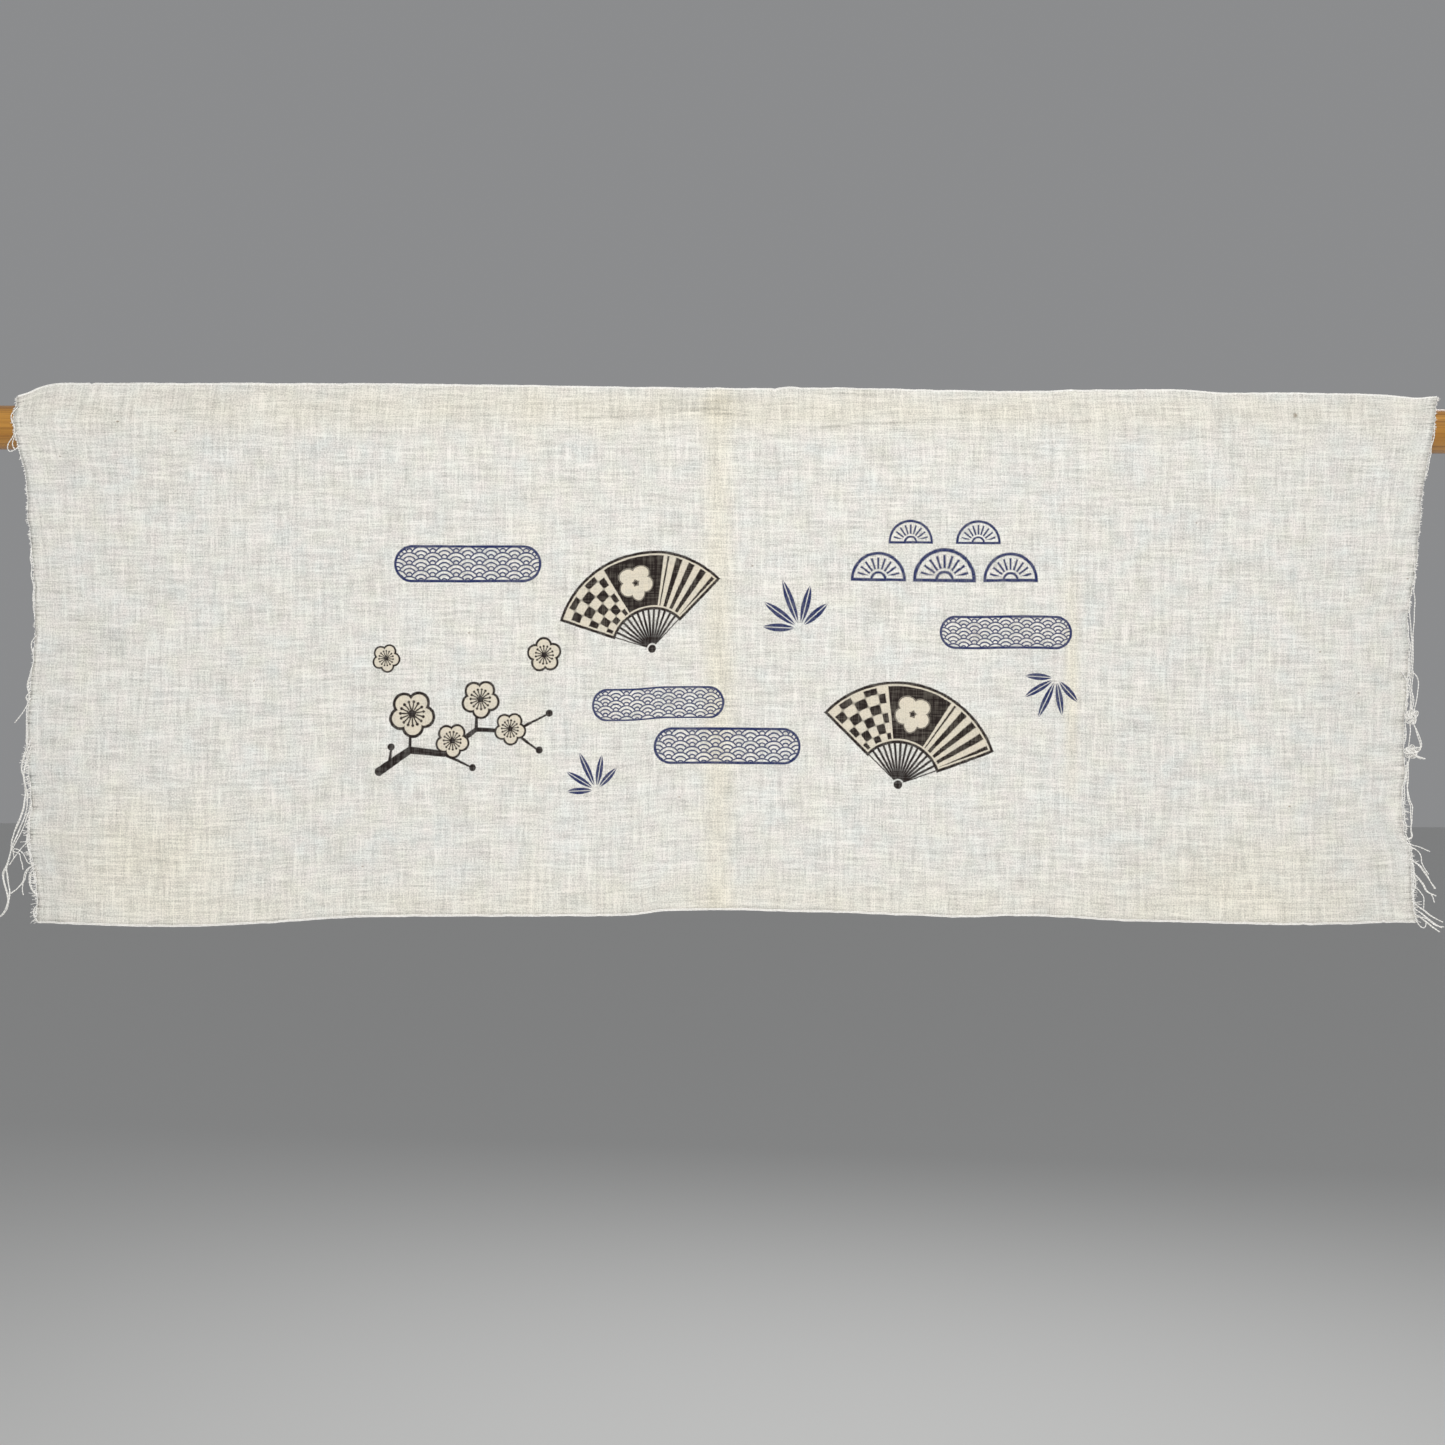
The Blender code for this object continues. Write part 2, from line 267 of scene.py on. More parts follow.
def relief(along, down):
    """How far the cloth stands out from a flat hang, at one place on it."""
    level = LEANING + LAID - down
    hanging = max(0.0, -level / HANGING)
    free = min(max(-level / 50, 0), 1) + min(max((level - LAID) / 12, 0), 1)
    total = sum(depth * hump((along - at) / half) for at, half, depth in SWELLS) * hanging**1.5
    total += sum(rise * hump((along - at) / half) for at, half, rise in STORAGE_FOLDS) * free
    for at, height, half_length, drop, rise, slope in DRAG_WRINKLES:
        off = (level - height - slope * (along - at)) / drop
        total += rise * hump((along - at) / half_length) * hump(off / 2.5 if off > 0 else off)
    total += 0.7 * free * noise.noise((along / 52, down / 70, 1.7))
    total += 0.22 * free * noise.noise((along / 17, down / 22, 5.1))
    to_end = HALF_LENGTH - abs(along)
    frill = max(0.0, 1 - to_end / 14) ** 2
    total += frill * free * 1.6 * noise.noise((along / 30, down / 9, 9.3))
    return total


def unevenness(along, nicks):
    """How far in a selvage lies at one place, from its nicks and from beating up the weft."""
    notched = sum(depth * hump((along - at) / half) for at, half, depth in nicks)
    waver = 0.3 * noise.noise((along / 9, nicks[0][0], 4.4)) + 0.15 * noise.noise((along / 3, 2.2, 6.1))
    return notched + waver


def cloth_at(along, down):
    """A point in the middle of the cloth, in metres, from its place along and down the flat cloth."""
    share = along / CUT_LENGTH + 0.5
    laid_height = REACH * math.sin(LEAVING_ANGLE)
    if down < LEANING:
        angle = LEAVING_ANGLE
        top = through(TOP_SELVAGE, along) - unevenness(along, TOP_NICKS)
        height = mix(top, laid_height, down / LEANING)
        forward = REACH * math.cos(angle) - (height - laid_height) * math.tan(angle)
    elif down < LEANING + LAID:
        angle = LEAVING_ANGLE * (1 - (down - LEANING) / LAID)
        height = REACH * math.sin(angle)
        forward = REACH * math.cos(angle)
    else:
        angle = 0.0
        hanging = (down - LEANING - LAID) / HANGING
        inwards = unevenness(along, BOTTOM_NICKS) * max(0.0, 1 - (CUT_WIDTH - down) / 12)
        height = through(BOTTOM_SELVAGE, along) * hanging + inwards
        forward = REACH
    out = relief(along, down)
    left, right = through(LEFT_END, height), through(RIGHT_END, height)
    place = mix(*ENDS, share)
    place += (left - ENDS[0]) * max(0, 1 - (HALF_LENGTH + along) / FOLLOWING) ** 2
    place += (right - ENDS[1]) * max(0, 1 - (HALF_LENGTH - along) / FOLLOWING) ** 2
    to_end = HALF_LENGTH - abs(along)
    if to_end < 10:
        ragged = noise.noise((math.copysign(4, along), down / 6, 2.9))
        place += 0.7 * (1 - to_end / 10) * ragged
    return Vector((place, -forward - out * math.cos(angle), height + out * math.sin(angle))) * MM


# Rows down the cloth are closer together over the rod, where the small wrinkles are
ACROSS = np.linspace(-HALF_LENGTH, HALF_LENGTH, 351)
DOWN = np.concatenate([np.linspace(0, 34, 44)[:-1], np.linspace(34, CUT_WIDTH, 90)])

# The print is a spread of traditional figures: folding fans and a flowering plum branch in brownish
# black, and pine, bamboo leaves and bands of waves in indigo.
# Each figure has its own size: half width, lowest and highest point, and how fast its foot widens
FIGURES = {
    "fan": (58, -5, 65, 1.4),
    "blossom": (15, -15, 15, 99),
    "pine": (15, -3, 15, 99),
    "waves": (50, -13, 13, 99),
    "leaves": (34, -4, 38, 99),
    "branch": (64, -26, 34, 99),
    "fleck": (6, -6, 6, 99),
    # The drag-crease shade is no printed figure but the painted shade of faint drag creases
    "tight_yarn": (40, -6, 6, 99),
}

# Where each figure is printed: figure, place along the cloth, level against the rod, turn, scale
PRINT = (
    ("branch", -168, -196, 4, 1.0),
    ("blossom", -116, -146, 40, 0.85),
    ("blossom", -219, -148, 10, 0.7),
    ("fan", -46, -143, 14, 1.0),
    ("fan", 114, -229, -12, 1.05),
    ("pine", 101, -98, 0, 1.35),
    ("pine", 144, -98, 0, 1.55),
    ("pine", 187, -98, 0, 1.35),
    ("pine", 122, -74, 0, 1.1),
    ("pine", 166, -74, 0, 1.1),
    ("waves", -166, -88, 0, 1.0),
    ("waves", 184, -131, 0, 0.9),
    ("waves", -42, -178, 0, 0.9),
    ("waves", 3, -206, 0, 1.0),
    ("leaves", 50, -130, 20, 0.95),
    ("leaves", -82, -232, 25, 0.75),
    ("leaves", 217, -160, 155, 0.8),
)

# Small faults of the yarn and the years, and the painted shade of faint drag creases, placed as in the
# photograph
FAULTS = (
    ("fleck", -391, 2, 10, 0.8), ("fleck", -356, -4, 30, 0.6), ("fleck", -427, -20, 0, 0.5),
    ("fleck", 416, -167, 0, 0.7), ("fleck", 389, -141, 20, 0.6), ("fleck", 446, -95, 0, 0.6),
    ("fleck", 369, -238, 0, 0.7), ("fleck", -165, -132, 0, 0.6), ("fleck", 19, -90, 0, 0.6),
    ("fleck", 371, 9, 80, 1.6), ("fleck", -28, -239, 0, 0.6), ("fleck", -234, -280, 0, 0.6),
    ("fleck", 308, -60, 0, 0.5), ("fleck", -305, -160, 40, 0.5), ("tight_yarn", -413, -230, 0, 0.8),
    ("tight_yarn", -408, -257, 0, 0.7), ("tight_yarn", -399, -263.5, -1, 0.7),
    ("tight_yarn", -406, -270, 1, 0.6), ("tight_yarn", -377, -287, 0, 0.7),
    ("tight_yarn", 429, -251, 0, 0.3), ("tight_yarn", 421, -276, 0, 0.4),
    ("tight_yarn", 411, -299, 0, 0.5),
)

# The undyed cotton, which is a little greyer where it is thin, and the yellowing of old folds: place,
# level, half width, half height, strength
CREAM = (215, 213, 203)
GREYER_CREAM = (213, 214, 209)
ROSIER_CREAM = (218, 213, 207)
YELLOWED = (218, 212, 195)
YELLOWING = (
    (-3, -150, 17, 400, 0.75),
    (227, -160, 8, 110, 0.8),
    (-124, -150, 14, 400, 0.2),
    (0, 12, 900, 26, 0.6),
    (0, -305, 900, 24, 0.35),
    (-370, -270, 100, 60, 0.65),
    (340, -285, 110, 50, 0.5),
)


def grid_of(values_across, values_down):
    """Places along and down the cloth at every corner of every face, one row of four for each face."""
    columns, rows = len(values_across) - 1, len(values_down) - 1
    c, r = np.meshgrid(np.arange(columns), np.arange(rows))
    corners = ((0, 0), (0, 1), (1, 1), (1, 0))
    along = np.stack([values_across[c + dc] for dc, dr in corners], axis=-1).reshape(-1, 4)
    down = np.stack([values_down[r + dr] for dc, dr in corners], axis=-1).reshape(-1, 4)
    return along, down


def print_map(along, level):
    """The figure printed on each face, or the painted drag-crease shade, 0 for none, and where the face's
    corners lie in that figure.
    """
    spots = np.full((*along.shape, 2), -9.0)
    kinds = np.zeros(len(along), int)
    for figure, at, height, turn, scale in (*PRINT, *FAULTS):
        half_width, lowest, highest, flare = FIGURES[figure]
        turn = math.radians(turn)
        dx, dy = (along - at) / scale, (level - height) / scale
        x = dx * math.cos(turn) + dy * math.sin(turn)
        y = dy * math.cos(turn) - dx * math.sin(turn)
        middle_x, middle_y = x.mean(axis=1), y.mean(axis=1)
        inside = abs(middle_x) < np.minimum(half_width, 8 + flare * (middle_y - lowest))
        here = (kinds == 0) & inside & (middle_y > lowest) & (middle_y < highest)
        spots[here] = np.stack([x, y], axis=-1)[here] * MM
        kinds[here] = 1 + list(FIGURES).index(figure)
    return kinds, spots


def yellowing(along, down):
    """How far the cotton has yellowed, from 0 to 1."""
    level = LEANING + LAID - down
    spots = (share * hump((along - at) / half) * hump((level - height) / tall)
             for at, height, half, tall, share in YELLOWING)
    return min(1.0, sum(spots))


def thinning(along, down):
    """How open the weave is near a raw end, where weft yarns have worked loose."""
    to_end = HALF_LENGTH - abs(along)
    patchy = noise.noise((math.copysign(3, along), down / 16, 7.7)) + 0.75
    return max(0.0, 1 - to_end / 5.2) * min(max(patchy, 0), 1)


def painted_crease_shade(along, down):
    """How much painted shade lies in a thin line just below the crest of each wrinkle, where the cloth turns
    down away from the light.
    """
    level = LEANING + LAID - down
    total = 0.0
    for at, height, half_length, drop, rise, slope in DRAG_WRINKLES:
        off = level - height - slope * (along - at) + drop * 0.6
        total += rise * hump((along - at) / half_length) * hump(off / 1.5)
    return min(1.0, total)


def weave_sheet():
    """The cloth's mesh with its flat map, its print map, where it has yellowed or thinned, and its painted
    shade below the wrinkle crests.
    """
    columns, rows = len(ACROSS), len(DOWN)
    points = [cloth_at(along, down) for down in DOWN for along in ACROSS]
    faces = []
    for r in range(rows - 1):
        for c in range(columns - 1):
            corner = r * columns + c
            faces.append((corner, corner + columns, corner + columns + 1, corner + 1))
    mesh = bpy.data.meshes.new("towel_cloth")
    mesh.from_pydata(points, [], faces)
    along, down = grid_of(ACROSS, DOWN)
    level = LEANING + LAID - down
    flat = mesh.uv_layers.new(name="flat")
    flat.data.foreach_set("uv", (np.stack([along, level], axis=-1) * MM).ravel())
    kinds, spots = print_map(along, level)
    mesh.uv_layers.new(name="print").data.foreach_set("uv", spots.ravel())
    mesh.polygons.foreach_set("material_index", kinds)
    wears = {"yellowing": yellowing, "thinning": thinning, "painted_crease_shade": painted_crease_shade}
    for name, wear in wears.items():
        shares = mesh.attributes.new(name, "FLOAT", "POINT")
        shares.data.foreach_set("value", [wear(along, down) for down in DOWN for along in ACROSS])
    mesh.shade_smooth()
    return mesh


class Amount:
    """A number that varies over the cloth. Sums written with it are made of nodes."""

    tree = None

    def __init__(self, socket):
        self.socket = socket

    def __add__(self, other):
        return amount("ADD", self, other)

    def __sub__(self, other):
        return amount("SUBTRACT", self, other)

    def __mul__(self, other):
        return amount("MULTIPLY", self, other)

    def __abs__(self):
        return amount("ABSOLUTE", self)


def amount(operation, *terms, clamp=False):
    """One step of a sum on amounts and plain numbers."""
    step = Amount.tree.nodes.new("ShaderNodeMath")
    step.operation = operation
    step.use_clamp = clamp
    for socket, term in zip(step.inputs, terms):
        if isinstance(term, Amount):
            Amount.tree.links.new(term.socket, socket)
        else:
            socket.default_value = term
    return Amount(step.outputs[0])


def both(*distances):
    """Inside all of several shapes, each given by its distance, less than nothing inside."""
    total = distances[0]
    for other in distances[1:]:
        total = amount("MAXIMUM", total, other)
    return total


def either(*distances):
    total = distances[0]
    for other in distances[1:]:
        total = amount("MINIMUM", total, other)
    return total


def reach(x, y):
    """How far a place is from the middle of its tile."""
    spot = add(Amount.tree, "ShaderNodeCombineXYZ")
    for socket, term in zip(spot.inputs, (x, y)):
        Amount.tree.links.new(term.socket, socket)
    return Amount(add(Amount.tree, "ShaderNodeVectorMath", {0: spot}, operation="LENGTH").outputs["Value"])


def spokes(turn, radius, pitch):
    """Distance to the nearest of many spokes, a pitch of angle apart."""
    return abs(amount("FLOORED_MODULO", turn, pitch) - pitch / 2) * radius


def flower(radius, turn, petal):
    """Distance to the outline of five round petals."""
    fold = amount("FLOORED_MODULO", turn, math.tau / 5) - math.pi / 5
    out = radius * amount("COSINE", fold) - petal * 1.25
    return reach(out, radius * amount("SINE", fold)) - petal


INDIGO = ((34, 44, 88), 0.96, 0.5)
BROWN_BLACK = ((34, 26, 24), 0.97, 0.5)
WARM_CREAM = ((209, 193, 161), 0.5, 0.5)
HUSK_BROWN = ((112, 90, 62), 0.65, 0.8)
# Painted shade of faint drag creases, laid as thin greyer lines
DRAG_CREASE_SHADE = ((176, 173, 163), 0.4, 0.9)


def fan_figure(x, y):
    """An open folding fan, its leaf checked, flowered and striped."""
    spread, pleat = math.radians(58), math.radians(58 / 7)
    radius, turn = reach(x, y), amount("ARCTAN2", x, y)
    side = (abs(turn) - spread) * radius
    leaf = both(abs(radius - 44.0) - 18.0, side)
    check = amount("SINE", turn * (math.pi / pleat)) * amount("SINE", (radius - 26.0) * (math.pi / 6)) * 2.0
    stripe = amount("SINE", turn * (math.tau / pleat)) * 0.9
    bloom_x, bloom_y = turn * 44.0, radius - 44.0
    bloom = flower(reach(bloom_x, bloom_y), amount("ARCTAN2", bloom_x, bloom_y), 5.2)
    middle = both(bloom * -1.0, abs(turn - 0.03) * 44.0 - 15.0)
    filled = either(both(check, (turn + 0.35) * 44.0), middle, both(stripe, (turn - 0.41) * -44.0))
    ribs = both(spokes(turn + pleat / 2, radius, pleat) - 0.75, abs(radius - 15.0) - 11.5, side)
    heart = either(abs(bloom) - 0.5, reach(bloom_x, bloom_y) - 1.4)
    drawn = either(both(filled, leaf + 1.9), abs(leaf) - 0.9, ribs, radius - 2.6, both(heart, bloom))
    return (leaf, WARM_CREAM), (drawn, BROWN_BLACK)


def blossom_figure(x, y):
    """A plum blossom in outline with its stamens."""
    radius, turn = reach(x, y), amount("ARCTAN2", x, y)
    outline = flower(radius, turn, 5.6)
    spoke = spokes(turn, radius, math.radians(24))
    stamens = both(spoke - 0.42, abs(radius - 4.2) - 1.8)
    heads = reach(radius - 6.6, spoke) - 0.85
    return (outline, WARM_CREAM), (either(abs(outline) - 0.85, stamens, heads, radius - 1.5), BROWN_BLACK)


def pine_figure(x, y):
    """A round tuft of pine needles on a flat base."""
    radius, turn = reach(x, y), amount("ARCTAN2", x, y)
    tuft = both(radius - 12.5, y * -1.0)
    needle = spokes(turn + math.radians(9), radius, math.radians(18)) - 0.5
    needles = both(needle, radius * -1.0 + 5.0, tuft + 2.0)
    heart = both(abs(radius - 3.4) - 0.6, y * -1.0)
    return ((either(abs(tuft) - 0.75, needles, heart), INDIGO),)


def waves_figure(x, y):
    """A round-ended band filled with overlapping wave scales."""
    flat_part = amount("MAXIMUM", abs(x) - 36.0, 0.0)
    band = reach(flat_part, y) - 11.0
    step = 3.8
    row = amount("FLOOR", y * (1 / step))
    rings = None
    for lift in (1, 0, -1):
        this_row = row + float(lift)
        offset = amount("FLOORED_MODULO", this_row, 2.0) * (2 * step)
        across = amount("FLOORED_MODULO", x + offset, 4 * step) - 2 * step
        from_middle = reach(across, y - this_row * step)
        if rings is None:
            rings = from_middle
        else:
            covers = amount("LESS_THAN", from_middle, 2 * step)
            rings = rings + (from_middle - rings) * covers
    lines = abs(amount("FLOORED_MODULO", rings, 2.55) - 2.0) - 0.5
    return ((either(abs(band) - 0.85, both(lines, band)), INDIGO),)


def leaves_figure(x, y):
    """Five bamboo leaves spread from one stalk."""
    gap = math.radians(34)
    radius, turn = reach(x, y), amount("ARCTAN2", x, y)
    nearest = amount("ROUND", amount("MAXIMUM", amount("MINIMUM", turn * (1 / gap), 2.0), -2.0))
    fold = turn - nearest * gap
    out, off = radius * amount("COSINE", fold), abs(radius * amount("SINE", fold))
    share = amount("DIVIDE", out - 3.0, abs(nearest) * -5.0 + 33.0, clamp=True)
    width = amount("POWER", share * (share * -1.0 + 1.0) * 4.0, 0.8) * 3.3
    return ((both(off - width + 0.5, off * -1.0 + 0.3), INDIGO),)


def twig(x, y, start, end, thick, thin):
    """Distance to a straight twig, which thins towards its end."""
    from_x, from_y = x - float(start[0]), y - float(start[1])
    run_x, run_y = end[0] - start[0], end[1] - start[1]
    length = math.hypot(run_x, run_y)
    share = amount("MULTIPLY", from_x * run_x + from_y * run_y, 1 / length**2, clamp=True)
    return reach(from_x - share * run_x, from_y - share * run_y) + share * (thick - thin) - thick


def branch_figure(x, y):
    """An angular plum branch in flower."""
    bends = ((-57, -20), (-36, -8), (-14, -12), (8, 2), (32, -1), (54, 8))
    shoots = (
        ((-36, -8), (-34, 12)), ((-14, -12), (2, -21)), ((8, 2), (10, 20)), ((32, -1), (46, -13)),
        ((-50, -16), (-48, -6)),
    )
    buds = ((4, -22), (48, -14), (56, 9), (-48, -5))
    blooms = ((-33, 15, 1.15), (-8, -4, 0.85), (12, 21, 0.95), (30, 1, 0.8))
    shapes = [twig(x, y, *bends[i:i + 2], 2.8 - 0.44 * i, 2.36 - 0.44 * i) for i in range(5)]
    shapes += [twig(x, y, a, b, 1.2, 0.6) for a, b in shoots]
    shapes += [reach(x - float(bud_x), y - float(bud_y)) - 2.3 for bud_x, bud_y in buds]
    drawn, petals = either(*shapes), None
    for at_x, at_y, size in blooms:
        bloom_x, bloom_y = (x - float(at_x)) * (1 / size), (y - float(at_y)) * (1 / size)
        (outline, _), (lines, _) = blossom_figure(bloom_x, bloom_y)
        drawn = either(both(drawn, outline * -size), lines * size)
        petals = outline * size if petals is None else either(petals, outline * size)
    return (petals, WARM_CREAM), (drawn, BROWN_BLACK)


def fleck_figure(x, y):
    """A speck of seed husk spun into a yarn."""
    return ((reach(x * 0.6, y) - 0.7, HUSK_BROWN),)


def drag_crease_shade_figure(x, y):
    """Painted shade of a faint drag crease, which shows as a thin greyer line."""
    return ((both(abs(y) - 0.3, abs(x) - 36.0), DRAG_CREASE_SHADE),)


def worn_cotton(name, figure=None):
    """Undyed cream cotton with slubs both ways, old yellow folds and painted shade under the wrinkles, and a
    figure dyed through it or a painted drag-crease shade.
    """
    material, tree, surface = finish_of(name, {
        "Roughness": 0.95, "Specular IOR Level": 0.2, "Sheen Weight": 0.1})
    Amount.tree = tree
    flat = add(tree, "ShaderNodeUVMap", uv_map="flat")

    def streaks(along_scale, across_scale, detail, seed):
        spread = add(tree, "ShaderNodeMapping", {
            "Vector": flat, "Location": (seed, seed, 0), "Scale": (along_scale, across_scale, 1)})
        made = add(tree, "ShaderNodeTexNoise", {"Vector": spread, "Scale": 1.0, "Detail": detail},
                   noise_dimensions="2D")
        return Amount(made.outputs["Fac"]) - 0.5

    long_slubs = streaks(75, 1500, 2.5, 3.1) + streaks(30, 400, 2.0, 8.4) * 0.8
    cross_slubs = streaks(1300, 70, 2.5, 5.7) + streaks(330, 28, 2.0, 2.2) * 0.8
    speckle = streaks(1000, 1000, 1.0, 6.6)
    clouds = streaks(38, 45, 1.0, 1.3)

    def worn(name):
        return Amount(add(tree, "ShaderNodeAttribute", attribute_name=name).outputs["Fac"])

    tint = amount("MULTIPLY_ADD", clouds, 2.2, 0.5, clamp=True)
    colour = over(tree, dye(*GREYER_CREAM), dye(*CREAM), tint.socket)
    blush = amount("MULTIPLY_ADD", streaks(90, 90, 2.0, 4.9), 2.0, 0.35, clamp=True)
    colour = over(tree, colour, dye(*ROSIER_CREAM), blush.socket)
    colour = over(tree, colour, dye(*YELLOWED), worn("yellowing").socket)
    stout = amount("MAXIMUM", long_slubs, 0.22) + amount("MAXIMUM", cross_slubs, 0.22) - 0.44
    tone = long_slubs * 0.5 + cross_slubs * 0.42 + speckle * 0.65 + stout * 0.6 + 1.0
    gaps = amount("MULTIPLY_ADD", long_slubs, -7.0, -0.3, clamp=True) * worn("thinning")
    # Gaps near the raw ends darken the tone, and so does painted shade in a thin line below each wrinkle's
    # crest
    tone = tone - gaps * 0.4 - worn("painted_crease_shade") * 0.17
    shaded = add(tree, "ShaderNodeVectorMath", {0: colour}, operation="SCALE")
    tree.links.new(amount("MINIMUM", tone, 1.22).socket, shaded.inputs["Scale"])
    colour = shaded.outputs["Vector"]

    if figure:
        # The dye has crept a little along the yarns, and hasn't taken evenly, and the painted drag-crease
        # shade is laid the same way
        spot = add(tree, "ShaderNodeSeparateXYZ", {"Vector": add(tree, "ShaderNodeUVMap", uv_map="print")})
        x = Amount(spot.outputs["X"]) * (1 / MM) + cross_slubs * 0.55
        y = Amount(spot.outputs["Y"]) * (1 / MM) + long_slubs * 0.55
        taken = (long_slubs + cross_slubs) * 0.25
        for distance, (shade, strength, softness) in figure(x, y):
            inside = amount("MULTIPLY_ADD", distance, -1 / softness, 0.5, clamp=True)
            share = inside * amount("MINIMUM", taken + strength, 1.0)
            colour = over(tree, colour, dye(*shade), share.socket)
    tree.links.new(colour, surface.inputs["Base Color"])

    height = long_slubs + cross_slubs + speckle * 0.5
    bump = add(tree, "ShaderNodeBump", {"Strength": 0.45, "Distance": 0.25 * MM})
    tree.links.new(height.socket, bump.inputs["Height"])
    tree.links.new(bump.outputs["Normal"], surface.inputs["Normal"])
    return material


DRAWINGS = {
    "fan": fan_figure, "blossom": blossom_figure, "pine": pine_figure, "waves": waves_figure,
    "leaves": leaves_figure, "branch": branch_figure, "fleck": fleck_figure, "tight_yarn": drag_crease_shade_figure,
}

towel_cloth = hang("towel_cloth", weave_sheet(), "towel")
towel_cloth.data.materials.append(worn_cotton("undyed_plain_weave"))
for figure in FIGURES:
    towel_cloth.data.materials.append(worn_cotton(figure + "_on_plain_weave", DRAWINGS[figure]))
thickness = towel_cloth.modifiers.new("thickness", "SOLIDIFY")
thickness.thickness = THICKNESS * MM
thickness.offset = 0


# Each selvage is the finished long edge: two stout warp yarns lie along it, and the weft turns round
# them in a row of small tight loops.
SELVAGE_YARN = 0.3  # radius
LOOP_SPACING = 0.85
LOOP_YARN = 0.16
UNDYED_YARN = (252, 250, 245)
YARN_HOLLOWS = (236, 233, 225)


def lines(name, runs, **attributes):
    """A mesh of open polylines in metres, with named values at their points for a node tree to read."""
    points = [point for run in runs for point in run]
    edges, start = [], 0
    for run in runs:
        edges += [(start + i, start + i + 1) for i in range(len(run) - 1)]
        start += len(run)
    mesh = bpy.data.meshes.new(name)
    mesh.from_pydata(points, edges, [])
    for label, values in attributes.items():
        flat = [value for run in values for value in run]
        if isinstance(flat[0], Vector):
            made = mesh.attributes.new(label, "FLOAT_VECTOR", "POINT")
            made.data.foreach_set("vector", [x for vector in flat for x in vector])
        else:
            mesh.attributes.new(label, "FLOAT", "POINT").data.foreach_set("value", flat)
    return mesh


def new_tree(name, **inputs):
    """An empty geometry node tree with named numbers as its inputs."""
    tree = bpy.data.node_groups.new(name, "GeometryNodeTree")
    tree.interface.new_socket("Geometry", in_out="INPUT", socket_type="NodeSocketGeometry")
    tree.interface.new_socket("Geometry", in_out="OUTPUT", socket_type="NodeSocketGeometry")
    for label, value in inputs.items():
        kind = "NodeSocketInt" if isinstance(value, int) else "NodeSocketFloat"
        socket = tree.interface.new_socket(label.replace("_", " "), in_out="INPUT", socket_type=kind)
        socket.default_value = value
    return tree, tree.nodes.new("NodeGroupInput").outputs


def spun(name, mesh, tree, shape, material, **values):
    """Ends a tree in real geometry with a material, runs it on a mesh and gives the plain mesh."""
    real = add(tree, "GeometryNodeRealizeInstances", {"Geometry": shape})
    painted = add(tree, "GeometryNodeSetMaterial", {"Geometry": real, "Material": material})
    tree.links.new(painted.outputs["Geometry"], tree.nodes.new("NodeGroupOutput").inputs["Geometry"])
    carrier = bpy.data.objects.new(name + "_lines", mesh)
    bpy.context.collection.objects.link(carrier)
    modifier = carrier.modifiers.new("yarn", "NODES")
    modifier.node_group = tree
    for socket in tree.interface.items_tree:
        label = socket.name.replace(" ", "_")
        if socket.in_out == "INPUT" and label in values:
            modifier[socket.identifier] = values[label]
    ready = carrier.evaluated_get(bpy.context.evaluated_depsgraph_get())
    made = bpy.data.meshes.new_from_object(ready)
    made.name = name
    bpy.data.objects.remove(carrier)
    return made


def named(tree, label, kind="FLOAT"):
    """The value that a line's points carry under a name."""
    return add(tree, "GeometryNodeInputNamedAttribute", {"Name": label}, data_type=kind)


def yarn_finish():
    """Spun cotton, a little uneven in tone along its length."""
    material, tree, surface = finish_of("undyed_yarn", {
        "Roughness": 0.9, "Specular IOR Level": 0.3, "Sheen Weight": 0.5, "Sheen Roughness": 0.6})
    place = add(tree, "ShaderNodeTexCoord").outputs["Object"]
    uneven = add(tree, "ShaderNodeTexNoise", {"Vector": place, "Scale": 700.0, "Detail": 2.0})
    shades = add(tree, "ShaderNodeValToRGB", {"Fac": uneven.outputs["Fac"]})
    shades.color_ramp.elements[0].position = 0.3
    shades.color_ramp.elements[0].color = dye(*YARN_HOLLOWS)
    shades.color_ramp.elements[1].position = 0.6
    shades.color_ramp.elements[1].color = dye(*UNDYED_YARN)
    tree.links.new(shades.outputs["Color"], surface.inputs["Base Color"])
    return material


undyed_yarn = yarn_finish()


def even_line(tree, given, spacing):
    """The given lines as curves, with their points an even spacing apart."""
    run = add(tree, "GeometryNodeMeshToCurve", {"Mesh": given["Geometry"]})
    return add(tree, "GeometryNodeResampleCurve", {"Curve": run, "Length": spacing}, mode="LENGTH")


def yarn_along(tree, curve, sides, radius):
    """A single yarn along a curve."""
    ring = add(tree, "GeometryNodeCurvePrimitiveCircle", {"Resolution": sides, "Radius": radius})
    return add(tree, "GeometryNodeCurveToMesh", {"Curve": curve, "Profile Curve": ring})


